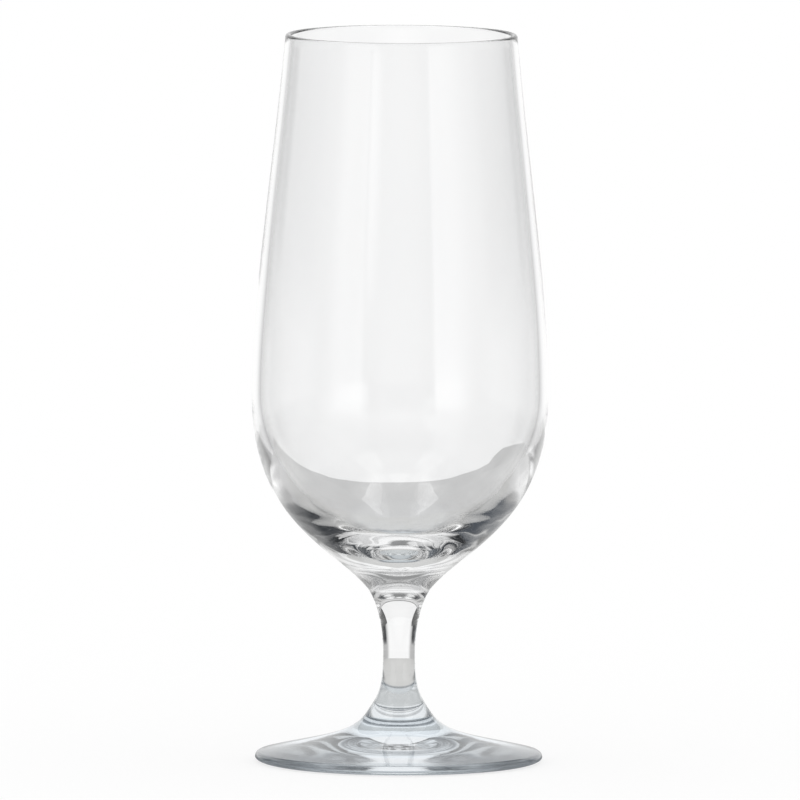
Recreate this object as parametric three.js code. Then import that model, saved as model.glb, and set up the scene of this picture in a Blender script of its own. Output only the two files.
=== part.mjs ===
// Tulip beer glass: a bowl, a stem and a foot, three gathers of glass welded at two flat faces.
// Millimetres, +Z up, origin at the centre of the plane the foot rests on.

import * as THREE from 'three';

// Heights of the three gathers, which stand on each other
const FOOT_HEIGHT = 12;
const STEM_LENGTH = 33;
const BOWL_HEIGHT = 143;

// The two weld faces, shared by the gathers on both sides of them
const FOOT_WELD_DIAMETER = 17.7;
const FOOT_WELD_LEAN = 35;
const BOWL_WELD_DIAMETER = 16.6;
const BOWL_WELD_LEAN = 40.5;

// Foot
const FOOT_DIAMETER = 74;
const FOOT_EDGE_RISE = 1.3;
const FOOT_EDGE_RADIUS = 1.4;
const FOOT_TOP_SLOPE = 13.6;
const FOOT_EDGE_PULL = 0.486;
const FOOT_WELD_PULL = 0.525;
const REST_INSET = 3.5;
const REST_WIDTH = 3;
const PUNT_DEPTH = 2;
const PUNT_CENTRE_PULL = 0.5;
const PUNT_RING_PULL = 0.1;

// Stem
const WAIST_DIAMETER = 8.2;
const WAIST_SHARE = 0.491;
const STEM_FOOT_PULL = 0.383;
const STEM_BELOW_WAIST_PULL = 0.596;
const STEM_ABOVE_WAIST_PULL = 0.505;
const STEM_BOWL_PULL = 0.155;

// Bowl, outside
const BELLY_DIAMETER = 76.4;
const BELLY_SHARE = 0.348;
const RIM_DIAMETER = 59.8;
const RIM_LEAN = 4.9;
const BOWL_WELD_PULL = 0.287;
const BELOW_BELLY_PULL = 0.65;
const ABOVE_BELLY_PULL = 0.285;
const BELOW_RIM_PULL = 0.3315;

// Bowl, inside
const RIM_WALL = 1.5;
const BELLY_WALL = 2.4;
const FLOOR_THICKNESS = 10.8;
const INNER_BELLY_PULL = 0.65;
const INNER_FLOOR_PULL = 0.4;

// How finely the outlines are drawn
const TURN_SEGMENTS = 60;
const LONG_STEPS = 12;
const WALL_STEPS = 8;
const EDGE_STEPS = 5;

const FOOT_WELD_HEIGHT = FOOT_HEIGHT;
const BOWL_WELD_HEIGHT = FOOT_WELD_HEIGHT + STEM_LENGTH;
const TOP_HEIGHT = BOWL_WELD_HEIGHT + BOWL_HEIGHT;

const radians = THREE.MathUtils.degToRad;

/** A point of the outline, by its radius and its height. */
function at(radius, height) {
  return new THREE.Vector2(radius, height);
}

/** A direction in the outline, by its angle from upright. Positive leans outwards. */
function leaning(degrees) {
  return at(Math.sin(radians(degrees)), Math.cos(radians(degrees)));
}

/** A smooth curve that leaves one point and reaches another in given directions. */
function sweep(start, leave, end, arrive, steps) {
  const first = start.clone().add(leave);
  const last = end.clone().sub(arrive);
  return new THREE.CubicBezierCurve(start, first, last, end).getPoints(steps);
}

/** A stretch of an ellipse, from one angle to another, in degrees. */
function round(centre, radiusAcross, radiusUp, from, to, steps) {
  const turn = [radians(from), radians(to)];
  return new THREE.EllipseCurve(centre.x, centre.y, radiusAcross, radiusUp, ...turn).getPoints(steps);
}

/** One outline from several stretches, without the points that two stretches share. */
function join(...stretches) {
  return stretches.flat().filter((point, i, all) => i === 0 || point.distanceTo(all[i - 1]) > 1e-6);
}

/** A named solid of revolution about +Z, from an outline that starts and ends on the axis. */
function gather(name, outline, colour) {
  const geometry = new THREE.LatheGeometry(outline, TURN_SEGMENTS);
  geometry.rotateX(Math.PI / 2);
  const material = new THREE.MeshStandardMaterial({ color: colour, roughness: 0.05, metalness: 0 });
  const mesh = new THREE.Mesh(geometry, material);
  mesh.name = name;
  return mesh;
}

/** The foot: hollow underneath, a flat ring to rest on, a round edge and a coned top. */
function footOutline() {
  const footRadius = FOOT_DIAMETER / 2;
  const restOuter = footRadius - REST_INSET;
  const restInner = restOuter - REST_WIDTH;
  const weld = at(FOOT_WELD_DIAMETER / 2, FOOT_WELD_HEIGHT);
  const hollow = sweep(
    at(0, PUNT_DEPTH),
    at(restInner * PUNT_CENTRE_PULL, 0),
    at(restInner, 0),
    at(restInner * PUNT_RING_PULL, 0),
    WALL_STEPS,
  );
  const under = round(at(restOuter, FOOT_EDGE_RISE), REST_INSET, FOOT_EDGE_RISE, -90, 0, EDGE_STEPS);
  const edgeCentre = at(footRadius - FOOT_EDGE_RADIUS, FOOT_EDGE_RISE);
  const edge = round(edgeCentre, FOOT_EDGE_RADIUS, FOOT_EDGE_RADIUS, 0, 90 - FOOT_TOP_SLOPE, EDGE_STEPS);
  const shoulder = edge[edge.length - 1];
  const edgePull = FOOT_EDGE_PULL * (shoulder.x - weld.x);
  const weldPull = FOOT_WELD_PULL * FOOT_HEIGHT;
  const top = sweep(
    shoulder,
    leaning(FOOT_TOP_SLOPE - 90).multiplyScalar(edgePull),
    weld,
    leaning(-FOOT_WELD_LEAN).multiplyScalar(weldPull),
    LONG_STEPS,
  );
  return join(hollow, under, edge, top, [at(0, FOOT_WELD_HEIGHT)]);
}

/** The stem: from the foot weld in to the waist and out again to the bowl weld. */
function stemOutline() {
  const waistHeight = FOOT_WELD_HEIGHT + WAIST_SHARE * STEM_LENGTH;
  const waist = at(WAIST_DIAMETER / 2, waistHeight);
  const below = waistHeight - FOOT_WELD_HEIGHT;
  const above = BOWL_WELD_HEIGHT - waistHeight;
  const lower = sweep(
    at(FOOT_WELD_DIAMETER / 2, FOOT_WELD_HEIGHT),
    leaning(-FOOT_WELD_LEAN).multiplyScalar(STEM_FOOT_PULL * below),
    waist,
    at(0, STEM_BELOW_WAIST_PULL * below),
    WALL_STEPS,
  );
  const upper = sweep(
    waist,
    at(0, STEM_ABOVE_WAIST_PULL * above),
    at(BOWL_WELD_DIAMETER / 2, BOWL_WELD_HEIGHT),
    leaning(BOWL_WELD_LEAN).multiplyScalar(STEM_BOWL_PULL * above),
    WALL_STEPS,
  );
  return join([at(0, FOOT_WELD_HEIGHT)], lower, upper, [at(0, BOWL_WELD_HEIGHT)]);
}

/** The bowl: out from the weld to the belly, up the wall, over the rim and down the inside to the floor. */
function bowlOutline() {
  const bellyRise = BELLY_SHARE * BOWL_HEIGHT;
  const bellyHeight = BOWL_WELD_HEIGHT + bellyRise;
  const belly = at(BELLY_DIAMETER / 2, bellyHeight);
  const innerBelly = at(BELLY_DIAMETER / 2 - BELLY_WALL, bellyHeight);
  const lower = sweep(
    at(BOWL_WELD_DIAMETER / 2, BOWL_WELD_HEIGHT),
    leaning(BOWL_WELD_LEAN).multiplyScalar(BOWL_WELD_PULL * bellyRise),
    belly,
    at(0, BELOW_BELLY_PULL * bellyRise),
    LONG_STEPS,
  );
  const rimRadius = RIM_WALL / 2;
  const rimCentre = at(RIM_DIAMETER / 2 - rimRadius, TOP_HEIGHT - rimRadius);
  const rimOutside = round(rimCentre, rimRadius, rimRadius, RIM_LEAN, 90, EDGE_STEPS);
  const rimInside = round(rimCentre, rimRadius, rimRadius, 90, RIM_LEAN + 180, EDGE_STEPS);
  const rim = join(rimOutside, rimInside);
  const outerLip = rim[0];
  const innerLip = rim[rim.length - 1];
  const rise = outerLip.y - bellyHeight;
  const innerRise = innerLip.y - bellyHeight;
  const wall = sweep(
    belly,
    at(0, ABOVE_BELLY_PULL * rise),
    outerLip,
    leaning(-RIM_LEAN).multiplyScalar(BELOW_RIM_PULL * rise),
    WALL_STEPS,
  );
  const innerWall = sweep(
    innerLip,
    leaning(-RIM_LEAN).multiplyScalar(-BELOW_RIM_PULL * innerRise),
    innerBelly,
    at(0, -ABOVE_BELLY_PULL * innerRise),
    WALL_STEPS,
  );
  const floor = at(0, BOWL_WELD_HEIGHT + FLOOR_THICKNESS);
  const inside = sweep(
    innerBelly,
    at(0, -INNER_BELLY_PULL * (bellyHeight - floor.y)),
    floor,
    at(-INNER_FLOOR_PULL * innerBelly.x, 0),
    LONG_STEPS,
  );
  return join([at(0, BOWL_WELD_HEIGHT)], lower, wall, rim, innerWall, inside);
}

const glass = new THREE.Group();
glass.name = 'tulip_beer_glass';
glass.add(gather('foot', footOutline(), 0xdde6e6));
glass.add(gather('stem', stemOutline(), 0xe2eaea));
glass.add(gather('bowl', bowlOutline(), 0xe7efef));

export default glass;
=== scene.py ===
"""A tulip beer glass in a white studio: a bowl, a stem and a foot of clear glass, welded hot.

Metres, +Z up, origin at the centre of the plane that the foot rests on.
"""

import logging
import math
from dataclasses import dataclass
from enum import Enum
from typing import Any

import bpy
import numpy as np
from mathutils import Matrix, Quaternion, Vector


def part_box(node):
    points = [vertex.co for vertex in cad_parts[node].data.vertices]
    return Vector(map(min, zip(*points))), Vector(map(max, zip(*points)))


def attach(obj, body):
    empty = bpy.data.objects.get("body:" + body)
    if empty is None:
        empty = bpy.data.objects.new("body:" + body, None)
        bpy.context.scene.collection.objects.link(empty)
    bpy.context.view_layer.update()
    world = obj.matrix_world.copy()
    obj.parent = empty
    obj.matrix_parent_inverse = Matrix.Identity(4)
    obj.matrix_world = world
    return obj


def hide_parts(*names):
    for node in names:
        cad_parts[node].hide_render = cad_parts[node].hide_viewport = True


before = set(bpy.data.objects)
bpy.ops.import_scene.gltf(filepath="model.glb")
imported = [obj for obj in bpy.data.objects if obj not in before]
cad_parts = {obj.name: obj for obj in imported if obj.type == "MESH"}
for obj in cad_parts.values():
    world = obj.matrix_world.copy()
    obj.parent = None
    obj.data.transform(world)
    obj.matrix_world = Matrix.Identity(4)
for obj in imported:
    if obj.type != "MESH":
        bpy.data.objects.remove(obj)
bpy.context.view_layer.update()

log = logging.getLogger("tulip_glass")
MM = 0.001
BODY = "root"
WELD_DISH = 0.05 * MM
PLAIN = (1.0, 1.0, 1.0)
COOL = (0.82, 0.95, 1.16)

# Where the chill haze of a pressed piece begins and where it is full, from the axis
HAZE_FROM = 19 * MM
HAZE_TO = 31 * MM

# How fine the scuffs of a rubbed place are, in scuffs to the metre
SCUFF_SCALE = 900.0

# A share that rises between the first two places and falls between the last two
Ramp = tuple[float, float, float, float]


class Spacing(Enum):
    """How the points of a stretch of outline are spread over it."""

    EVEN = "even"
    FINE_ENDS = "fine at both ends"


class Sight(Enum):
    """Which rays see a thing on the stage."""

    EYE = "the camera and the floor's own light"
    GLASS = "what the glass mirrors and lets through"


def eased(share: Any) -> Any:
    """A share from 0 to 1 with a soft start and a soft end."""
    kept = np.clip(share, 0.0, 1.0)
    return kept * kept * (3.0 - 2.0 * kept)


def between(values: np.ndarray, ramp: Ramp) -> np.ndarray:
    """How far values lie between the two slopes of a ramp, from 0 outside to 1 inside."""
    start, full, end, gone = ramp
    return eased((values - start) / (full - start)) * eased((gone - values) / (gone - end))


def at(radius: float, height: float) -> Vector:
    """A point of a half section."""
    return Vector((radius, height))


def leaning(degrees: float, length: float) -> Vector:
    """A step in a half section, by its angle from upright. A positive angle leans outwards."""
    return Vector((math.sin(math.radians(degrees)), math.cos(math.radians(degrees)))) * length


def sweep(
    start: Vector,
    leave: Vector,
    end: Vector,
    arrive: Vector,
    steps: int,
    spacing: Spacing,
) -> list[Vector]:
    """A smooth curve that leaves one point and reaches another in given directions.

    Args:
        start: Where the curve begins.
        leave: The pull with which it leaves its start.
        end: Where the curve ends.
        arrive: The pull with which it reaches its end.
        steps: The number of straight steps that it is drawn with.
        spacing: Where those steps are short.

    Returns:
        The points of the curve, both ends included.
    """
    shares = np.linspace(0.0, 1.0, steps + 1)
    if spacing is Spacing.FINE_ENDS:
        shares = (1.0 - np.cos(math.pi * shares)) / 2.0
    first, last = start + leave, end - arrive
    curve = []
    for t in shares:
        rest = 1.0 - t
        curve.append(start * rest**3 + first * (3 * rest**2 * t) + last * (3 * rest * t**2) + end * t**3)
    return curve


def bend(centre: Vector, across: float, up: float, turn: tuple[float, float], steps: int) -> list[Vector]:
    """A stretch of an ellipse.

    Args:
        centre: The middle of the ellipse.
        across: Its half width.
        up: Its half height.
        turn: The angles at which the stretch begins and ends, in degrees.
        steps: The number of straight steps that it is drawn with.

    Returns:
        The points of the stretch, both ends included.
    """
    angles = np.radians(np.linspace(*turn, steps + 1))
    return [centre + at(across * math.cos(a), up * math.sin(a)) for a in angles]


class Outline:
    """A half section, walked from the axis round to the axis with the glass on the left."""

    SAME_PLACE = 1e-4 * MM

    def __init__(self) -> None:
        """Starts an outline with no points."""
        self.points: list[Vector] = []
        self.marks: dict[str, list[float]] = {"weld": [], "sway": [], "ripple": []}

    def add(
        self,
        stretch: list[Vector],
        weld: bool = False,
        sway: tuple[float, float] = (0.0, 0.0),
        ripple: tuple[float, float] = (0.0, 0.0),
    ) -> None:
        """Adds a stretch, without a point that it shares with the one before.

        Args:
            stretch: The points, in walking order.
            weld: Whether they lie on a weld face.
            sway: How much of the wall's slow sway they take, at the first and the last point.
            ripple: How much of the floor's ripple they take, at the first and the last point.
        """
        for i, point in enumerate(stretch):
            share = float(eased(i / max(len(stretch) - 1, 1)))
            if self.points and (point - self.points[-1]).length < self.SAME_PLACE:
                self.marks["weld"][-1] = max(self.marks["weld"][-1], float(weld))
                continue
            self.points.append(point)
            self.marks["weld"].append(float(weld))
            self.marks["sway"].append(sway[0] + share * (sway[1] - sway[0]))
            self.marks["ripple"].append(ripple[0] + share * (ripple[1] - ripple[0]))

    def mesh(self, name: str) -> bpy.types.Mesh:
        """Turns the outline into loose points in the XZ plane, with its marks as attributes.

        Args:
            name: The mesh's name.

        Returns:
            The mesh.
        """
        mesh = bpy.data.meshes.new(name)
        mesh.from_pydata([(p.x, 0.0, p.y) for p in self.points], [], [])
        for mark, values in self.marks.items():
            mesh.attributes.new(mark, "FLOAT", "POINT").data.foreach_set("value", values)
        return mesh


class Wiring:
    """Adds nodes to a tree and joins them."""

    def __init__(self, tree: bpy.types.NodeTree) -> None:
        """Works on one tree."""
        self.tree = tree

    def add(self, kind: str, feeds: dict[Any, Any] | None = None, **settings: Any) -> bpy.types.Node:
        """Adds a node.

        Args:
            kind: The node's type.
            feeds: For an input's name or number, the output that feeds it or its fixed value.
            settings: The node's own options.

        Returns:
            The new node.
        """
        node = self.tree.nodes.new(kind)
        for option, value in settings.items():
            setattr(node, option, value)
        for key, value in (feeds or {}).items():
            if isinstance(value, bpy.types.NodeSocket):
                self.tree.links.new(value, node.inputs[key])
            else:
                node.inputs[key].default_value = value
        return node

    def math(self, operation: str, first: Any, second: Any) -> bpy.types.NodeSocket:
        """The result of a sum on two numbers, in a geometry or a shader tree."""
        return self.add("ShaderNodeMath", {0: first, 1: second}, operation=operation).outputs[0]

    def whole(self, operation: str, first: Any, second: Any) -> bpy.types.NodeSocket:
        """The result of a sum on two whole numbers, in a geometry tree."""
        return self.add("FunctionNodeIntegerMath", {0: first, 1: second}, operation=operation).outputs[0]

    def level(self, place: bpy.types.NodeSocket) -> bpy.types.NodeSocket:
        """A place without its height, in a geometry or a shader tree."""
        feeds = {0: place, 1: (1.0, 1.0, 0.0)}
        return self.add("ShaderNodeVectorMath", feeds, operation="MULTIPLY").outputs[0]


@dataclass(frozen=True)
class Waviness:
    """How far a hand-made wall strays from a true turned form."""

    sway: float = 0.0
    sway_size: float = 30 * MM
    ripple: float = 0.0
    ripple_size: float = 6 * MM
    seed: float = 0.0


class Lathe:
    """The node tree that turns an outline about +Z into a closed solid."""

    SEAM = 0.001 * MM
    CREASE = math.radians(40)

    def __init__(self, turn_steps: int) -> None:
        """Builds the tree.

        Args:
            turn_steps: The number of flat strips in a full turn.
        """
        self.turn_steps = turn_steps
        self.tree = bpy.data.node_groups.new("turned_gather", "GeometryNodeTree")
        self.tree.is_modifier = True
        self.inputs: dict[str, str] = {}
        kinds = {"Outline": "Geometry", "Turn Steps": "Int", "Sway": "Float", "Sway Size": "Float"}
        kinds |= {"Ripple": "Float", "Ripple Size": "Float", "Seed": "Float"}
        kinds |= {"Glass": "Material", "Weld": "Material"}
        for name, kind in kinds.items():
            socket = self.tree.interface.new_socket(name, in_out="INPUT", socket_type=f"NodeSocket{kind}")
            self.inputs[name] = socket.identifier
        self.tree.interface.new_socket("Solid", in_out="OUTPUT", socket_type="NodeSocketGeometry")
        self._wire()

    def _wire(self) -> None:
        """Joins the nodes: a grid is bent round the axis, closed, made wavy and dressed."""
        wiring = Wiring(self.tree)
        given = wiring.add("NodeGroupInput").outputs
        count = wiring.add("GeometryNodeAttributeDomainSize", {0: given["Outline"]}).outputs["Point Count"]
        columns = wiring.whole("ADD", given["Turn Steps"], 1)
        size = {"Vertices X": columns, "Vertices Y": count}
        grid = wiring.add("GeometryNodeMeshGrid", size).outputs["Mesh"]
        index = wiring.add("GeometryNodeInputIndex").outputs[0]
        row = wiring.whole("MODULO", index, count)
        column = wiring.whole("DIVIDE_FLOOR", index, count)
        angle = wiring.math("MULTIPLY", wiring.math("DIVIDE", column, given["Turn Steps"]), math.tau)
        place = wiring.add("GeometryNodeInputPosition").outputs[0]
        source = {"Geometry": given["Outline"], "Value": place, "Index": row}
        picked = wiring.add("GeometryNodeSampleIndex", source, data_type="FLOAT_VECTOR").outputs[0]
        spin = {"Vector": picked, "Angle": angle}
        turned = wiring.add("ShaderNodeVectorRotate", spin, rotation_type="Z_AXIS").outputs[0]
        solid = wiring.add("GeometryNodeSetPosition", {"Geometry": grid, "Position": turned}).outputs[0]
        for mark in ("weld", "sway", "ripple"):
            solid = self._carry(wiring, solid, given["Outline"], row, mark)
        seam = {"Geometry": solid, "Distance": self.SEAM}
        solid = wiring.add("GeometryNodeMergeByDistance", seam).outputs[0]
        billows = self._billows(wiring, given["Sway Size"])
        rings = self._rings(wiring, given["Ripple Size"])
        sway = self._stray(wiring, "sway", given["Sway"], billows, given["Seed"])
        ripple = self._stray(wiring, "ripple", given["Ripple"], rings, given["Seed"])
        shift = wiring.math("ADD", sway, ripple)
        normal = wiring.add("GeometryNodeInputNormal").outputs[0]
        offset = wiring.add("ShaderNodeVectorMath", {0: normal, "Scale": shift}, operation="SCALE").outputs[0]
        solid = wiring.add("GeometryNodeSetPosition", {"Geometry": solid, "Offset": offset}).outputs[0]
        fold = wiring.add("GeometryNodeInputMeshEdgeAngle").outputs["Unsigned Angle"]
        sharp = {0: fold, 1: self.CREASE}
        crease = wiring.add("FunctionNodeCompare", sharp, operation="GREATER_THAN").outputs[0]
        soft = {0: solid, "Shade Smooth": True}
        solid = wiring.add("GeometryNodeSetShadeSmooth", soft, domain="FACE").outputs[0]
        hard = {0: solid, "Selection": crease, "Shade Smooth": False}
        solid = wiring.add("GeometryNodeSetShadeSmooth", hard, domain="EDGE").outputs[0]
        solid = wiring.add("GeometryNodeRealizeInstances", {0: solid}).outputs[0]
        mark = {"Name": "weld"}
        welded = wiring.add("GeometryNodeInputNamedAttribute", mark, data_type="BOOLEAN").outputs[0]
        solid = wiring.add("GeometryNodeSetMaterial", {0: solid, "Material": given["Glass"]}).outputs[0]
        faced = {0: solid, "Selection": welded, "Material": given["Weld"]}
        solid = wiring.add("GeometryNodeSetMaterial", faced).outputs[0]
        wiring.add("NodeGroupOutput", {0: solid})

    @staticmethod
    def _carry(
        wiring: Wiring,
        solid: bpy.types.NodeSocket,
        outline: bpy.types.NodeSocket,
        row: bpy.types.NodeSocket,
        mark: str,
    ) -> bpy.types.NodeSocket:
        """Stores one of the outline's marks on the turned points.

        Args:
            wiring: The tree being joined.
            solid: The turned grid.
            outline: The outline that holds the mark.
            row: The outline point that each turned point comes from.
            mark: The mark's name.

        Returns:
            The grid with the mark.
        """
        value = wiring.add("GeometryNodeInputNamedAttribute", {"Name": mark}, data_type="FLOAT").outputs[0]
        source = {"Geometry": outline, "Value": value, "Index": row}
        picked = wiring.add("GeometryNodeSampleIndex", source, data_type="FLOAT").outputs[0]
        kind = "BOOLEAN" if mark == "weld" else "FLOAT"
        feeds = {"Geometry": solid, "Name": mark, "Value": picked}
        return wiring.add("GeometryNodeStoreNamedAttribute", feeds, data_type=kind, domain="POINT").outputs[0]

    @staticmethod
    def _billows(wiring: Wiring, size: bpy.types.NodeSocket) -> bpy.types.NodeSocket:
        """Finds places for a pattern that is alike in all directions.

        Args:
            wiring: The tree being joined.
            size: The length of one wave.

        Returns:
            The places.
        """
        place = wiring.add("GeometryNodeInputPosition").outputs[0]
        scale = wiring.math("DIVIDE", 1.0, size)
        return wiring.add("ShaderNodeVectorMath", {0: place, "Scale": scale}, operation="SCALE").outputs[0]

    @staticmethod
    def _rings(wiring: Wiring, size: bpy.types.NodeSocket) -> bpy.types.NodeSocket:
        """Finds places for a pattern that runs in uneven rings about the axis.

        Args:
            wiring: The tree being joined.
            size: The width of one ring.

        Returns:
            The places.
        """
        place = wiring.add("GeometryNodeInputPosition").outputs[0]
        flat = wiring.level(place)
        reach = wiring.add("ShaderNodeVectorMath", {0: flat}, operation="LENGTH").outputs["Value"]
        facing = wiring.add("ShaderNodeVectorMath", {0: flat}, operation="NORMALIZE").outputs[0]
        height = wiring.add("ShaderNodeSeparateXYZ", {0: place}).outputs["Z"]
        ring = wiring.math("DIVIDE", wiring.math("ADD", reach, height), size)
        climb = wiring.add("ShaderNodeCombineXYZ", {"Z": ring}).outputs[0]
        return wiring.add("ShaderNodeVectorMath", {0: facing, 1: climb}, operation="ADD").outputs[0]

    @staticmethod
    def _stray(
        wiring: Wiring,
        mark: str,
        height: bpy.types.NodeSocket,
        place: bpy.types.NodeSocket,
        seed: bpy.types.NodeSocket,
    ) -> bpy.types.NodeSocket:
        """How far a point strays along its normal.

        Args:
            wiring: The tree being joined.
            mark: The mark that says how much of it each point takes.
            height: The most that it strays.
            place: Where the pattern is read.
            seed: Picks the pattern.

        Returns:
            The distance.
        """
        feeds = {"Vector": place, "W": seed, "Scale": 1.0, "Detail": 0.0}
        noise = wiring.add("ShaderNodeTexNoise", feeds, noise_dimensions="4D").outputs[0]
        swing = wiring.math("SUBTRACT", wiring.math("MULTIPLY", noise, 2.0), 1.0)
        share = wiring.add("GeometryNodeInputNamedAttribute", {"Name": mark}, data_type="FLOAT").outputs[0]
        return wiring.math("MULTIPLY", wiring.math("MULTIPLY", swing, height), share)

    def turn(
        self,
        name: str,
        outline: Outline,
        waviness: Waviness,
        glass: bpy.types.Material,
        weld: bpy.types.Material,
    ) -> bpy.types.Object:
        """Turns an outline into a plain mesh object.

        Args:
            name: The object's name.
            outline: The half section.
            waviness: How far the walls stray.
            glass: The finish of the free surface.
            weld: The finish of the weld faces.

        Returns:
            The object, at the origin.
        """
        blank = bpy.data.objects.new(name, outline.mesh(name))
        bpy.context.scene.collection.objects.link(blank)
        modifier = blank.modifiers.new("turn", "NODES")
        modifier.node_group = self.tree
        values = {"Turn Steps": self.turn_steps, "Glass": glass, "Weld": weld, "Seed": waviness.seed}
        values |= {"Sway": waviness.sway, "Sway Size": waviness.sway_size}
        values |= {"Ripple": waviness.ripple, "Ripple Size": waviness.ripple_size}
        for label, value in values.items():
            modifier[self.inputs[label]] = value
        solid = bpy.data.meshes.new_from_object(blank.evaluated_get(bpy.context.evaluated_depsgraph_get()))
        blank.modifiers.remove(modifier)
        blank.data = solid
        solid.name = name
        for mark in ("weld", "sway", "ripple"):
            solid.attributes.remove(solid.attributes[mark])
        return blank


@dataclass(frozen=True)
class GlassFinish:
    """Clear glass with a fire-polished skin."""

    name: str
    clear_tint: tuple[float, float, float] = (1.0, 1.0, 1.0)
    cord_tint: tuple[float, float, float] = (0.988, 0.991, 0.993)
    cord_scale: tuple[float, float, float] = (60.0, 60.0, 12.0)
    ior: float = 1.52
    polish: float = 0.0
    rub: float = 0.06
    rub_height: float = 0.5 * MM
    haze: float = 0.0

    def material(self, skin: bpy.types.NodeTree) -> bpy.types.Material:
        """Mixes the material.

        Args:
            skin: The shared group for cords in the glass, rubbed places and haze.

        Returns:
            The material.
        """
        material = bpy.data.materials.new(self.name)
        material.use_nodes = True
        wiring = Wiring(material.node_tree)
        shader = material.node_tree.nodes["Principled BSDF"]
        group = wiring.add("ShaderNodeGroup", node_tree=skin)
        group.inputs["Clear Tint"].default_value = (*self.clear_tint, 1.0)
        group.inputs["Cord Tint"].default_value = (*self.cord_tint, 1.0)
        group.inputs["Cord Scale"].default_value = self.cord_scale
        group.inputs["Polish"].default_value = self.polish
        group.inputs["Rub"].default_value = self.rub
        group.inputs["Rub Height"].default_value = self.rub_height
        group.inputs["Haze"].default_value = self.haze
        material.node_tree.links.new(group.outputs["Tint"], shader.inputs["Base Color"])
        material.node_tree.links.new(group.outputs["Roughness"], shader.inputs["Roughness"])
        shader.inputs["IOR"].default_value = self.ior
        shader.inputs["Transmission Weight"].default_value = 1.0
        return material


def glass_skin() -> bpy.types.NodeTree:
    """The shader group for what varies over glass: cords of thicker tint, a rubbed rest ring and a haze.

    Returns:
        The group.
    """
    tree = bpy.data.node_groups.new("glass_skin", "ShaderNodeTree")
    kinds = {"Clear Tint": "Color", "Cord Tint": "Color", "Cord Scale": "Vector"}
    kinds |= {"Polish": "Float", "Rub": "Float", "Rub Height": "Float", "Haze": "Float"}
    for name, kind in kinds.items():
        tree.interface.new_socket(name, in_out="INPUT", socket_type=f"NodeSocket{kind}")
    tree.interface.new_socket("Tint", in_out="OUTPUT", socket_type="NodeSocketColor")
    tree.interface.new_socket("Roughness", in_out="OUTPUT", socket_type="NodeSocketFloat")
    wiring = Wiring(tree)
    given = wiring.add("NodeGroupInput").outputs
    place = wiring.add("ShaderNodeTexCoord").outputs["Object"]
    stretch = {0: place, 1: given["Cord Scale"]}
    drawn = wiring.add("ShaderNodeVectorMath", stretch, operation="MULTIPLY").outputs[0]
    cords = wiring.add("ShaderNodeTexNoise", {"Vector": drawn, "Scale": 1.0, "Detail": 3.0}).outputs[0]
    tints = {"Factor": cords, "A": given["Clear Tint"], "B": given["Cord Tint"]}
    tint = wiring.add("ShaderNodeMix", tints, data_type="RGBA").outputs["Result"]
    height = wiring.add("ShaderNodeSeparateXYZ", {0: place}).outputs["Z"]
    down = {"Value": height, "From Min": given["Rub Height"], "From Max": 0.0}
    low = wiring.add("ShaderNodeMapRange", down).outputs[0]
    fine = {"Vector": place, "Scale": SCUFF_SCALE, "Detail": 4.0}
    scuffs = wiring.add("ShaderNodeTexNoise", fine).outputs[0]
    rubbed = wiring.math("MULTIPLY", wiring.math("MULTIPLY", low, scuffs), given["Rub"])
    radius = wiring.add("ShaderNodeVectorMath", {0: wiring.level(place)}, operation="LENGTH").outputs["Value"]
    out = {"Value": radius, "From Min": HAZE_FROM, "From Max": HAZE_TO}
    chilled = wiring.math("MULTIPLY", wiring.add("ShaderNodeMapRange", out).outputs[0], given["Haze"])
    rough = wiring.math("ADD", wiring.math("ADD", given["Polish"], rubbed), chilled)
    wiring.add("NodeGroupOutput", {"Tint": tint, "Roughness": rough})
    return tree


def weld_finish() -> bpy.types.Material:
    """Glass against glass: light passes the weld face unbent.

    Returns:
        The material.
    """
    material = bpy.data.materials.new("weld_face")
    material.use_nodes = True
    shader = material.node_tree.nodes["Principled BSDF"]
    shader.inputs["Base Color"].default_value = (1.0, 1.0, 1.0, 1.0)
    shader.inputs["Roughness"].default_value = 0.0
    shader.inputs["IOR"].default_value = 1.0
    shader.inputs["Transmission Weight"].default_value = 1.0
    return material


@dataclass(frozen=True)
class Weld:
    """A flat round face between two gathers, and how the outline leans where it crosses it."""

    height: float
    radius: float
    lean: float


@dataclass(frozen=True)
class Gather:
    """One gather of glass: a turned solid that stands for a node of the frame."""

    node: str
    finish: GlassFinish
    waviness: Waviness

    def outline(self) -> Outline:
        """The half section, which each gather draws for itself."""
        raise NotImplementedError

    def build(self, lathe: Lathe, skin: bpy.types.NodeTree, weld: bpy.types.Material) -> bpy.types.Object:
        """Turns, dresses and places the gather.

        Args:
            lathe: The tree that turns it.
            skin: The shared group of the glass finishes.
            weld: The finish of the weld faces.

        Returns:
            The finished piece.
        """
        glass = self.finish.material(skin)
        piece = lathe.turn(f"{self.node}_glass", self.outline(), self.waviness, glass, weld)
        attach(piece, BODY)
        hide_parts(self.node)
        log.info("%s: %d faces", piece.name, len(piece.data.polygons))
        return piece


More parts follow.
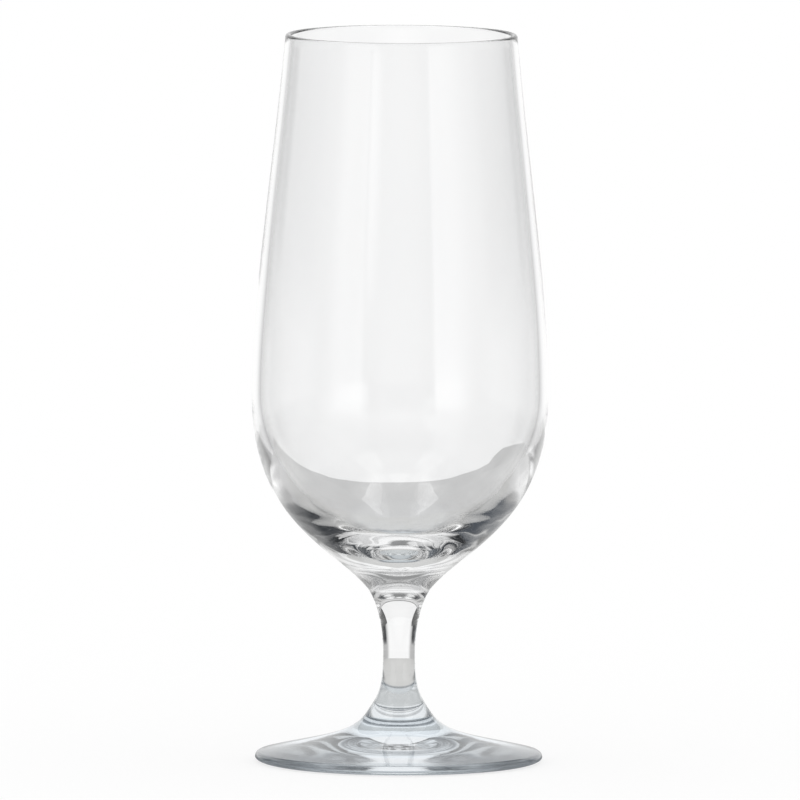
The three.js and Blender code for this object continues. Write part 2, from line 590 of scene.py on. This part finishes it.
@dataclass(frozen=True)
class Foot(Gather):
    """The foot: hollow underneath, a flat ring to rest on, a round edge and a coned top."""

    radius: float
    weld: Weld
    edge_rise: float = 1.3 * MM
    edge_radius: float = 1.4 * MM
    top_slope: float = 13.6
    edge_pull: float = 0.486
    weld_pull: float = 0.525
    rest_inset: float = 3.5 * MM
    rest_width: float = 3.0 * MM
    punt_depth: float = 2.0 * MM
    punt_centre_pull: float = 0.5
    punt_ring_pull: float = 0.1

    HOLLOW_STEPS = 40
    EDGE_STEPS = 12
    TOP_STEPS = 64

    def outline(self) -> Outline:
        """Walks the hollow, the rest ring, the edge and the coned top.

        Returns:
            The half section.
        """
        rest_outer = self.radius - self.rest_inset
        rest_inner = rest_outer - self.rest_width
        hollow = sweep(
            at(0.0, self.punt_depth),
            at(rest_inner * self.punt_centre_pull, 0.0),
            at(rest_inner, 0.0),
            at(rest_inner * self.punt_ring_pull, 0.0),
            self.HOLLOW_STEPS,
            Spacing.EVEN,
        )
        under_centre = at(rest_outer, self.edge_rise)
        under = bend(under_centre, self.rest_inset, self.edge_rise, (-90.0, 0.0), self.EDGE_STEPS)
        edge_centre = at(self.radius - self.edge_radius, self.edge_rise)
        edge_turn = (0.0, 90.0 - self.top_slope)
        edge = bend(edge_centre, self.edge_radius, self.edge_radius, edge_turn, self.EDGE_STEPS)
        shoulder = edge[-1]
        top = sweep(
            shoulder,
            leaning(self.top_slope - 90.0, self.edge_pull * (shoulder.x - self.weld.radius)),
            at(self.weld.radius, self.weld.height),
            leaning(-self.weld.lean, self.weld_pull * self.weld.height),
            self.TOP_STEPS,
            Spacing.FINE_ENDS,
        )
        outline = Outline()
        outline.add(hollow, ripple=(1.0, 0.0))
        outline.add(under)
        outline.add(edge)
        outline.add(top, ripple=(0.0, 1.0))
        outline.add([top[-1], at(0.0, self.weld.height - WELD_DISH)], weld=True)
        return outline


@dataclass(frozen=True)
class Stem(Gather):
    """The stem: from the foot weld in to the waist and out again to the bowl weld."""

    foot_weld: Weld
    bowl_weld: Weld
    waist_radius: float = 4.1 * MM
    waist_share: float = 0.491
    foot_pull: float = 0.383
    below_waist_pull: float = 0.596
    above_waist_pull: float = 0.505
    bowl_pull: float = 0.155

    SIDE_STEPS = 56

    def outline(self) -> Outline:
        """Walks the lower weld face, the waisted side and the upper weld face.

        Returns:
            The half section.
        """
        low, high = self.foot_weld, self.bowl_weld
        waist = at(self.waist_radius, low.height + self.waist_share * (high.height - low.height))
        below = waist.y - low.height
        above = high.height - waist.y
        lower = sweep(
            at(low.radius, low.height),
            leaning(-low.lean, self.foot_pull * below),
            waist,
            at(0.0, self.below_waist_pull * below),
            self.SIDE_STEPS,
            Spacing.FINE_ENDS,
        )
        upper = sweep(
            waist,
            at(0.0, self.above_waist_pull * above),
            at(high.radius, high.height),
            leaning(high.lean, self.bowl_pull * above),
            self.SIDE_STEPS,
            Spacing.FINE_ENDS,
        )
        outline = Outline()
        outline.add([at(0.0, low.height + WELD_DISH), lower[0]], weld=True)
        outline.add(lower)
        outline.add(upper)
        outline.add([upper[-1], at(0.0, high.height - WELD_DISH)], weld=True)
        return outline


@dataclass(frozen=True)
class Bowl(Gather):
    """The bowl: out from the weld to the belly, up the wall, over the rim and down to the floor."""

    weld: Weld
    top: float
    belly_radius: float
    belly_share: float = 0.348
    rim_radius: float = 29.9 * MM
    rim_lean: float = 4.9
    weld_pull: float = 0.287
    below_belly_pull: float = 0.65
    above_belly_pull: float = 0.285
    below_rim_pull: float = 0.3315
    rim_wall: float = 1.5 * MM
    belly_wall: float = 2.4 * MM
    floor_thickness: float = 10.8 * MM
    inner_belly_pull: float = 0.65
    inner_floor_pull: float = 0.4

    LOWER_STEPS = 64
    WALL_STEPS = 48
    RIM_STEPS = 10
    INSIDE_STEPS = 72

    def outline(self) -> Outline:
        """Walks the weld face, the outside, the rim and the inside.

        Returns:
            The half section.
        """
        belly_height = self.weld.height + self.belly_share * (self.top - self.weld.height)
        belly_rise = belly_height - self.weld.height
        belly = at(self.belly_radius, belly_height)
        inner_belly = at(self.belly_radius - self.belly_wall, belly_height)
        lower = sweep(
            at(self.weld.radius, self.weld.height),
            leaning(self.weld.lean, self.weld_pull * belly_rise),
            belly,
            at(0.0, self.below_belly_pull * belly_rise),
            self.LOWER_STEPS,
            Spacing.FINE_ENDS,
        )
        lip = self.rim_wall / 2.0
        lip_centre = at(self.rim_radius - lip, self.top - lip)
        rim_outside = bend(lip_centre, lip, lip, (self.rim_lean, 90.0), self.RIM_STEPS)
        rim_inside = bend(lip_centre, lip, lip, (90.0, self.rim_lean + 180.0), self.RIM_STEPS)
        rise = rim_outside[0].y - belly_height
        inner_rise = rim_inside[-1].y - belly_height
        wall = sweep(
            belly,
            at(0.0, self.above_belly_pull * rise),
            rim_outside[0],
            leaning(-self.rim_lean, self.below_rim_pull * rise),
            self.WALL_STEPS,
            Spacing.EVEN,
        )
        inner_wall = sweep(
            rim_inside[-1],
            leaning(-self.rim_lean, -self.below_rim_pull * inner_rise),
            inner_belly,
            at(0.0, -self.above_belly_pull * inner_rise),
            self.WALL_STEPS,
            Spacing.EVEN,
        )
        floor = at(0.0, self.weld.height + self.floor_thickness)
        inside = sweep(
            inner_belly,
            at(0.0, -self.inner_belly_pull * (belly_height - floor.y)),
            floor,
            at(-self.inner_floor_pull * inner_belly.x, 0.0),
            self.INSIDE_STEPS,
            Spacing.EVEN,
        )
        outline = Outline()
        outline.add([at(0.0, self.weld.height + WELD_DISH), lower[0]], weld=True)
        outline.add(lower)
        outline.add(wall)
        outline.add(rim_outside)
        outline.add(rim_inside)
        outline.add(inner_wall, sway=(0.0, 1.0))
        outline.add(inside, sway=(1.0, 1.0), ripple=(0.0, 1.0))
        return outline


@dataclass(frozen=True)
class Panel:
    """A card, a flag or a soft box of the studio: a patch of a dome round the glass.

    Azimuth 0 is behind the glass, and positive to the camera's right. Angles are in degrees.
    """

    name: str
    azimuth: tuple[float, float]
    elevation: tuple[float, float]
    tone: float
    soft_sides: tuple[float, float] = (3.0, 3.0)
    soft_ends: tuple[float, float] = (3.0, 3.0)
    tint: tuple[float, float, float] = PLAIN
    mirrored: bool = False

    STEP = 1.5

    def fade(self, azimuth: np.ndarray, elevation: np.ndarray) -> np.ndarray:
        """Finds how solid the panel is, from 0 outside its soft edges to 1 inside them.

        Args:
            azimuth: The places across it.
            elevation: The places up it.

        Returns:
            A share for each place.
        """
        solid = np.ones_like(azimuth)
        for values, limits, soft in (
            (azimuth, self.azimuth, self.soft_sides),
            (elevation, self.elevation, self.soft_ends),
        ):
            solid *= eased((values - limits[0] + soft[0]) / (2.0 * soft[0]))
            solid *= eased((limits[1] + soft[1] - values) / (2.0 * soft[1]))
        return solid

    def build(self, glow: bpy.types.Material, distance: float, side: int) -> bpy.types.Object:
        """Makes the panel.

        Args:
            glow: The material that reads the panel's tone and fade.
            distance: How far it stands from the glass.
            side: 1 as written, or -1 for its mirror image on the camera's left.

        Returns:
            The panel.
        """
        spread = (self.azimuth[0] - self.soft_sides[0], self.azimuth[1] + self.soft_sides[1])
        low, high = self.elevation
        reach = (max(low - self.soft_ends[0], -90.0), min(high + self.soft_ends[1], 90.0))
        across = max(2, round((spread[1] - spread[0]) / self.STEP))
        up = max(2, round((reach[1] - reach[0]) / self.STEP))
        az, el = np.meshgrid(np.linspace(*spread, across + 1), np.linspace(*reach, up + 1))
        turn, lift = np.radians(az * side), np.radians(el)
        flat = distance * np.cos(lift)
        points = np.stack([flat * np.sin(turn), flat * np.cos(turn), distance * np.sin(lift)], axis=-1)
        name = self.name if side > 0 else f"{self.name}_left"
        tone = np.full_like(az, self.tone)[..., None] * np.array(self.tint)
        return glowing_sheet(name, points, self.fade(az, el), tone, glow)


def glowing_sheet(
    name: str,
    points: np.ndarray,
    fade: np.ndarray,
    tone: np.ndarray,
    glow: bpy.types.Material,
) -> bpy.types.Object:
    """A sheet of the stage that only the glass sees.

    Args:
        name: The sheet's name.
        points: Its places, in rows and columns.
        fade: How solid it is at each place.
        tone: Its colour and brightness at each place.
        glow: The material that reads both.

    Returns:
        The sheet.
    """
    rows, columns = points.shape[:2]
    faces = []
    for row in range(rows - 1):
        for column in range(columns - 1):
            corner = row * columns + column
            faces.append((corner, corner + 1, corner + columns + 1, corner + columns))
    mesh = bpy.data.meshes.new(name)
    mesh.from_pydata(points.reshape(-1, 3).tolist(), [], faces)
    mesh.attributes.new("fade", "FLOAT", "POINT").data.foreach_set("value", fade.ravel())
    shades = np.concatenate([tone, np.ones((rows, columns, 1))], axis=-1)
    mesh.attributes.new("tone", "FLOAT_COLOR", "POINT").data.foreach_set("color", shades.ravel())
    mesh.materials.append(glow)
    sheet = bpy.data.objects.new(name, mesh)
    bpy.context.scene.collection.objects.link(sheet)
    set_sight(sheet, Sight.GLASS)
    return sheet


def set_sight(thing: bpy.types.Object, sight: Sight) -> None:
    """Puts a thing on the stage, seen by one kind of ray.

    Args:
        thing: The thing.
        sight: The rays that see it.
    """
    eye = sight is Sight.EYE
    thing.visible_camera = eye
    thing.visible_diffuse = eye
    thing.visible_shadow = eye
    thing.visible_glossy = not eye
    thing.visible_transmission = not eye


@dataclass(frozen=True)
class Table:
    """The grey table top that shows through the glass, with a painted shadow: a dark, cool ring where the
    foot stands and dark flanks beside it.

    Its back edge turns up in a low lip.
    """

    half_width: float = 0.30
    back: float = 0.14
    back_round: float = 0.90
    lip: float = 10.3 * MM
    lip_half: float = 0.155
    front: float = 0.90
    drop: float = 0.1 * MM
    middle_tone: float = 0.66
    side_tone: float = 0.46
    front_tone: float = 0.18
    # Painted shadow: the tones of the dark ring round the foot and of the dark flanks beside it.
    shadow_ring_tone: float = 0.22
    side_shadow_tone: float = 0.18
    tint: tuple[float, float, float] = (1.0, 1.0, 0.985)
    # Painted shadow: the cool tint of the dark ring, and the ramps that place the ring and the dark flanks.
    shadow_ring_tint: tuple[float, float, float] = (0.95, 1.0, 1.06)
    ring: Ramp = (0.029, 0.036, 0.038, 0.050)
    side_shadow_across: Ramp = (0.03, 0.05, 0.075, 0.095)
    side_shadow_forward: Ramp = (-0.06, -0.03, 0.22, 0.32)
    front_forward: Ramp = (0.09, 0.16, 0.30, 0.42)

    COLUMNS = 121
    ROWS = 161

    def build(self, glow: bpy.types.Material) -> bpy.types.Object:
        """Makes the table top, with small faces near the glass.

        Args:
            glow: The material that reads its tone.

        Returns:
            The table top.
        """
        across = np.linspace(-1.0, 1.0, self.COLUMNS)
        along = np.linspace(-1.0, 1.0, self.ROWS)
        u, v = np.meshgrid(across * np.abs(across), along * np.abs(along))
        x = u * self.half_width
        y = np.where(v < 0.0, v * self.front, v * self._edge(x))
        tone = self.middle_tone + eased(np.abs(x) / self.half_width) * (self.side_tone - self.middle_tone)
        # Painted shadow: a dark ring round the foot, where its contact shadow would fall.
        ring = between(np.hypot(x, y), self.ring)
        tone += ring * (self.shadow_ring_tone - tone)
        # Painted shadow: dark flanks at both sides of the glass, as if it cast shadows sideways onto the
        # table.
        side_shadow = between(np.abs(x), self.side_shadow_across) * between(-y, self.side_shadow_forward)
        tone += side_shadow * (self.side_shadow_tone - tone)
        tone += between(-y, self.front_forward) * (self.front_tone - tone)
        # Painted shadow: the dark ring is tinted cool, as shade is.
        tint = np.array(self.tint) + ring[..., None] * (np.array(self.shadow_ring_tint) - np.array(self.tint))
        tone = tone[..., None] * tint
        points = np.stack([x, y, np.full_like(x, -self.drop)], axis=-1)
        top = points[-1:].copy()
        top[..., 2] = self.lip * np.maximum(0.0, 1.0 - (top[..., 0] / self.lip_half) ** 2)
        points = np.concatenate([points, top])
        tone = np.concatenate([tone, tone[-1:]])
        return glowing_sheet("table_top", points, np.ones(points.shape[:2]), tone, glow)

    def _edge(self, x: np.ndarray) -> np.ndarray:
        """How far back the table reaches at each place across it."""
        return self.back - x**2 / self.back_round


def level(height: float, across: Any, along: Any) -> np.ndarray:
    """An edge of a card that lies level: its places across and along, at one height."""
    return np.stack(np.broadcast_arrays(across, along, height), axis=-1).astype(float)


def upright(depth: float, across: Any, heights: Any) -> np.ndarray:
    """An edge of a card that stands square to the camera: its places across and up, at one depth."""
    return np.stack(np.broadcast_arrays(across, depth, heights), axis=-1).astype(float)


@dataclass(frozen=True)
class Card:
    """A small sheet near the glass, spanned between two edges of as many points each, in millimetres."""

    name: str
    tone: float
    first: np.ndarray
    second: np.ndarray
    fades: tuple[float, float] = (1.0, 1.0)
    mirrored: bool = False

    def build(self, glow: bpy.types.Material, side: int) -> bpy.types.Object:
        """Makes the card.

        Args:
            glow: The material that reads its tone and fade.
            side: 1 as written, or -1 for its mirror image on the camera's left.

        Returns:
            The card.
        """
        points = np.stack([self.first, self.second]) * MM * np.array([side, 1.0, 1.0])
        fade = np.repeat(np.array(self.fades)[:, None], len(self.first), axis=1)
        name = self.name if side > 0 else f"{self.name}_left"
        return glowing_sheet(name, points, fade, np.full_like(points, self.tone), glow)


@dataclass(frozen=True)
class Shelf:
    """A level grey shelf behind the bowl's base, in millimetres.

    Its back edge runs farther back on the left and steps back twice towards the right. Its underside is dark,
    with a light fan in the middle that narrows towards the glass.
    """

    height: float = 50.0
    front: float = 18.0
    left: float = -62.0
    right: float = 64.0
    least: float = 66.0
    left_bend: float = -27.0
    left_rise: float = 40.0
    left_curl: float = 1.6
    right_bend: float = 45.0
    right_fall: float = 7.0
    steps: tuple[tuple[float, float, float], ...] = ((-22.0, 0.0, 6.0), (12.0, 34.0, 13.0))
    tone: float = 0.66
    shade_tone: float = 0.10
    shade_inset: float = 1.0
    fan_tone: float = 0.95
    fan: tuple[float, float] = (-43.0, 45.0)
    fan_inset: float = 1.5
    fan_narrowing: float = 0.29
    fan_past_back: float = 1.5

    LAYER = 0.2
    POINTS = 43

    def back(self, x: np.ndarray) -> np.ndarray:
        """Draws the back edge.

        Args:
            x: Places across the shelf.

        Returns:
            How far back the shelf reaches at each of them.
        """
        leftward = np.clip((self.left_bend - x) / (self.left_bend - self.left), 0.0, 1.0)
        rightward = np.clip((x - self.right_bend) / (self.right - self.right_bend), 0.0, 1.0)
        reach = self.least + self.left_rise * leftward**self.left_curl - self.right_fall * rightward
        for start, end, rise in self.steps:
            reach += rise * eased((x - start) / (end - start))
        return reach

    def cards(self) -> tuple[Card, ...]:
        """Lays out the top, the dark underside and the light fan below that, each set back a little.

        Returns:
            The three cards.
        """
        x = np.linspace(self.left, self.right, self.POINTS)
        fan = np.linspace(*self.fan, self.POINTS)
        under = self.height - self.LAYER
        lowest = under - self.LAYER
        shade_front = level(under, x, self.front + self.shade_inset)
        fan_front = level(lowest, self.fan_narrowing * fan, self.front + self.fan_inset)
        fan_back = level(lowest, fan, self.back(fan) + self.fan_past_back)
        return (
            Card("shelf", self.tone, level(self.height, x, self.front), level(self.height, x, self.back(x))),
            Card("shelf_shade", self.shade_tone, shade_front, level(under, x, self.back(x))),
            Card("shelf_light", self.fan_tone, fan_front, fan_back),
        )


@dataclass(frozen=True)
class Studio:
    """A white room for the eye, and round the glass the panels that it mirrors and bends."""

    floor_half: float = 9.0
    floor_drop: float = 0.05 * MM
    floor_lit: float = 0.75

    PANELS = (
        Panel("tent", (-181.0, 181.0), (-95.0, 95.0), 0.30, (0.5, 0.5)),
        Panel("low_side", (36.0, 105.0), (-12.0, 2.0), 0.50, (5.0, 8.0), (3.0, 1.5), mirrored=True),
        Panel("ceiling", (-64.0, 64.0), (12.0, 54.0), 0.66, (8.0, 8.0), (4.0, 3.0)),
        Panel("top_light", (28.0, 66.0), (52.0, 68.0), 0.92, (6.0, 6.0), (3.0, 3.0), mirrored=True),
        Panel("high_flag", (52.0, 112.0), (22.0, 52.0), 0.03, (6.0, 5.0), (4.0, 4.0), COOL, mirrored=True),
        Panel("right_flag", (54.0, 104.0), (0.8, 22.0), 0.03, (3.0, 8.0), (1.2, 4.0), COOL),
        Panel("left_flag", (-104.0, -54.0), (1.8, 22.0), 0.08, (8.0, 3.0), (1.2, 4.0), COOL),
        Panel("near_flag", (38.0, 58.0), (-1.0, 22.0), 0.015, (4.0, 3.0), (1.2, 4.0), COOL, mirrored=True),
        Panel("backdrop", (-33.0, 33.0), (-60.0, 30.0), 1.0, (9.0, 9.0), (3.0, 5.0)),
        Panel("high_light", (70.0, 130.0), (68.0, 80.0), 0.95, (5.0, 5.0), (3.0, 3.0), mirrored=True),
        Panel("front_flag", (138.0, 181.0), (44.0, 74.0), 0.05, (5.0, 0.5), (4.0, 3.0), mirrored=True),
        Panel("front_top", (140.0, 181.0), (77.0, 95.0), 1.2, (5.0, 0.5), (2.0, 3.0), mirrored=True),
        Panel("right_window", (112.0, 150.0), (-2.0, 36.0), 0.58, (18.0, 1.5), (3.0, 4.0)),
        Panel("right_band", (128.0, 153.0), (-6.0, 9.0), 1.1, (14.0, 1.5), (2.0, 3.0)),
        Panel("left_window", (-150.0, -122.0), (-8.0, 36.0), 0.92, (1.5, 10.0), (3.0, 4.0)),
        Panel("streak_light", (-167.0, -151.0), (5.0, 15.0), 1.2, (3.0, 2.0), (2.0, 2.0)),
        Panel("front_dark", (160.0, 181.0), (-8.0, 16.0), 0.32, (6.0, 0.5), (3.0, 4.0), mirrored=True),
        Panel("soft_box", (110.0, 146.0), (52.0, 68.0), 1.3, (3.0, 3.0), (3.0, 3.0), mirrored=True),
    )
    CARDS = (
        Card(
            "gleam",
            0.80,
            level(50.2, (6.0, 5.8, 5.8, 6.5, 4.9), (69.0, 52.0, 39.0, 30.0, 20.0)),
            level(50.2, (9.8, 11.2, 12.7, 9.3, 6.2), (68.0, 51.5, 41.0, 28.0, 21.0)),
            (0.3, 1.0),
            mirrored=True,
        ),
        Card(
            "grey_card",
            0.62,
            upright(60.0, (28.0, 31.0, 34.0, 40.0, 46.0, 53.0), 54.0),
            upright(60.0, (29.0, 31.0, 34.0, 40.0, 46.0, 53.0), (56.0, 61.5, 64.5, 64.2, 62.6, 60.0)),
        ),
    )
    FARTHEST = 30.0
    SPACING = 1.0

    def build(self, camera: bpy.types.Object) -> None:
        """Sets the stage.

        Args:
            camera: The camera that the panels stay square to, as round a turntable.
        """
        world = bpy.data.worlds.new("white_room")
        world.use_nodes = True
        world.node_tree.nodes["Background"].inputs["Color"].default_value = (1.0, 1.0, 1.0, 1.0)
        bpy.context.scene.world = world
        turntable = bpy.data.objects.new("turntable", None)
        bpy.context.scene.collection.objects.link(turntable)
        square = turntable.constraints.new("LOCKED_TRACK")
        square.target = camera
        square.track_axis = "TRACK_NEGATIVE_Y"
        square.lock_axis = "LOCK_Z"
        glow = self._glow()
        things = [self._floor(), Table().build(glow)]
        for card in Shelf().cards() + self.CARDS:
            things.append(card.build(glow, 1))
            if card.mirrored:
                things.append(card.build(glow, -1))
        for place, panel in enumerate(self.PANELS):
            distance = self.FARTHEST - self.SPACING * place
            things.append(panel.build(glow, distance, 1))
            if panel.mirrored:
                things.append(panel.build(glow, distance, -1))
        for thing in things:
            thing.parent = turntable
            log.info("stage: %s", thing.name)

    @staticmethod
    def _glow() -> bpy.types.Material:
        """Mixes the glow of panels, cards and table top, which reads their tone and fade from the mesh.

        Returns:
            The material.
        """
        material = bpy.data.materials.new("panel_glow")
        material.use_nodes = True
        material.cycles.emission_sampling = "NONE"
        material.node_tree.nodes.clear()
        wiring = Wiring(material.node_tree)
        tone = wiring.add("ShaderNodeAttribute", attribute_name="tone").outputs["Color"]
        fade = wiring.add("ShaderNodeAttribute", attribute_name="fade").outputs["Fac"]
        light = wiring.add("ShaderNodeEmission", {"Color": tone}).outputs[0]
        clear = wiring.add("ShaderNodeBsdfTransparent").outputs[0]
        mixed = wiring.add("ShaderNodeMixShader", {0: fade, 1: clear, 2: light}).outputs[0]
        wiring.add("ShaderNodeOutputMaterial", {"Surface": mixed})
        return material

    def _floor(self) -> bpy.types.Object:
        """Lays the plain white floor, which takes the soft shadow.

        Returns:
            The floor.
        """
        reach = self.floor_half
        mesh = bpy.data.meshes.new("floor")
        corners = [(-reach, -reach), (reach, -reach), (reach, reach), (-reach, reach)]
        mesh.from_pydata([(x, y, -self.floor_drop) for x, y in corners], [], [(0, 1, 2, 3)])
        material = bpy.data.materials.new("white_floor")
        material.use_nodes = True
        material.node_tree.nodes.clear()
        wiring = Wiring(material.node_tree)
        paint = wiring.add("ShaderNodeBsdfDiffuse", {"Color": (1.0, 1.0, 1.0, 1.0)}).outputs[0]
        shine = wiring.add("ShaderNodeEmission", {"Color": (1.0, 1.0, 1.0, 1.0)}).outputs[0]
        lit = wiring.add("ShaderNodeMixShader", {0: self.floor_lit, 1: paint, 2: shine}).outputs[0]
        wiring.add("ShaderNodeOutputMaterial", {"Surface": lit})
        mesh.materials.append(material)
        floor = bpy.data.objects.new("floor", mesh)
        bpy.context.scene.collection.objects.link(floor)
        set_sight(floor, Sight.EYE)
        return floor


@dataclass(frozen=True)
class PhotoCamera:
    """A long lens, a little above the table."""

    distance: float = 7.0
    elevation: float = 5.4
    aim_height: float = 93.5 * MM
    picture_height: float = 205.9 * MM
    roll: float = 0.226
    sensor: float = 36.0

    def build(self) -> bpy.types.Object:
        """Makes the camera and hands it to the scene.

        Returns:
            The camera.
        """
        lens = bpy.data.cameras.new("camera")
        lens.sensor_width = self.sensor
        lens.lens = self.sensor * self.distance / self.picture_height
        lens.clip_end = 2.0 * self.distance
        camera = bpy.data.objects.new("camera", lens)
        bpy.context.scene.collection.objects.link(camera)
        rise = math.radians(self.elevation)
        back = Vector((0.0, -math.cos(rise), math.sin(rise)))
        camera.location = Vector((0.0, 0.0, self.aim_height)) + back * self.distance
        camera.rotation_mode = "QUATERNION"
        tilt = Quaternion((0.0, 0.0, 1.0), math.radians(self.roll))
        camera.rotation_quaternion = (-back).to_track_quat("-Z", "Y") @ tilt
        bpy.context.scene.camera = camera
        return camera


class TulipGlass:
    """The whole glass, sized by the frame."""

    TURN_STEPS = 256
    FOOT_WELD_RADIUS = 8.85 * MM
    FOOT_WELD_LEAN = 35.0
    BOWL_WELD_RADIUS = 8.3 * MM
    BOWL_WELD_LEAN = 40.5

    def __init__(self) -> None:
        """Takes the heights and the largest radii from the frame."""
        foot_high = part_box("foot")[1]
        stem_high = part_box("stem")[1]
        bowl_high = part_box("bowl")[1]
        foot_weld = Weld(foot_high.z, self.FOOT_WELD_RADIUS, self.FOOT_WELD_LEAN)
        bowl_weld = Weld(stem_high.z, self.BOWL_WELD_RADIUS, self.BOWL_WELD_LEAN)
        blown = Waviness(0.12 * MM, 34 * MM, 0.12 * MM, 5 * MM, seed=3.0)
        pressed = Waviness(ripple=0.03 * MM, ripple_size=3 * MM, seed=5.0)
        thick = GlassFinish("pressed_glass", (0.84, 0.90, 0.95), (0.80, 0.87, 0.93), haze=0.11)
        self.gathers: tuple[Gather, ...] = (
            Foot("foot", thick, pressed, foot_high.x, foot_weld),
            Stem("stem", GlassFinish("drawn_glass"), Waviness(), foot_weld, bowl_weld),
            Bowl("bowl", GlassFinish("blown_glass"), blown, bowl_weld, bowl_high.z, bowl_high.x),
        )

    def build(self) -> None:
        """Turns and dresses the three gathers."""
        lathe = Lathe(self.TURN_STEPS)
        skin = glass_skin()
        weld = weld_finish()
        for gather in self.gathers:
            gather.build(lathe, skin, weld)


def set_up_picture() -> None:
    """Plain colours, and enough bounces for light to cross the glass."""
    scene = bpy.context.scene
    scene.view_settings.view_transform = "Standard"
    scene.cycles.max_bounces = 96
    scene.cycles.transmission_bounces = 96
    scene.cycles.glossy_bounces = 96
    scene.cycles.transparent_max_bounces = 32


def main() -> None:
    """Builds the glass, the camera and the studio, in that order."""
    logging.basicConfig(level=logging.INFO, format="%(message)s")
    TulipGlass().build()
    Studio().build(PhotoCamera().build())
    set_up_picture()


if __name__ == "__main__":
    main()
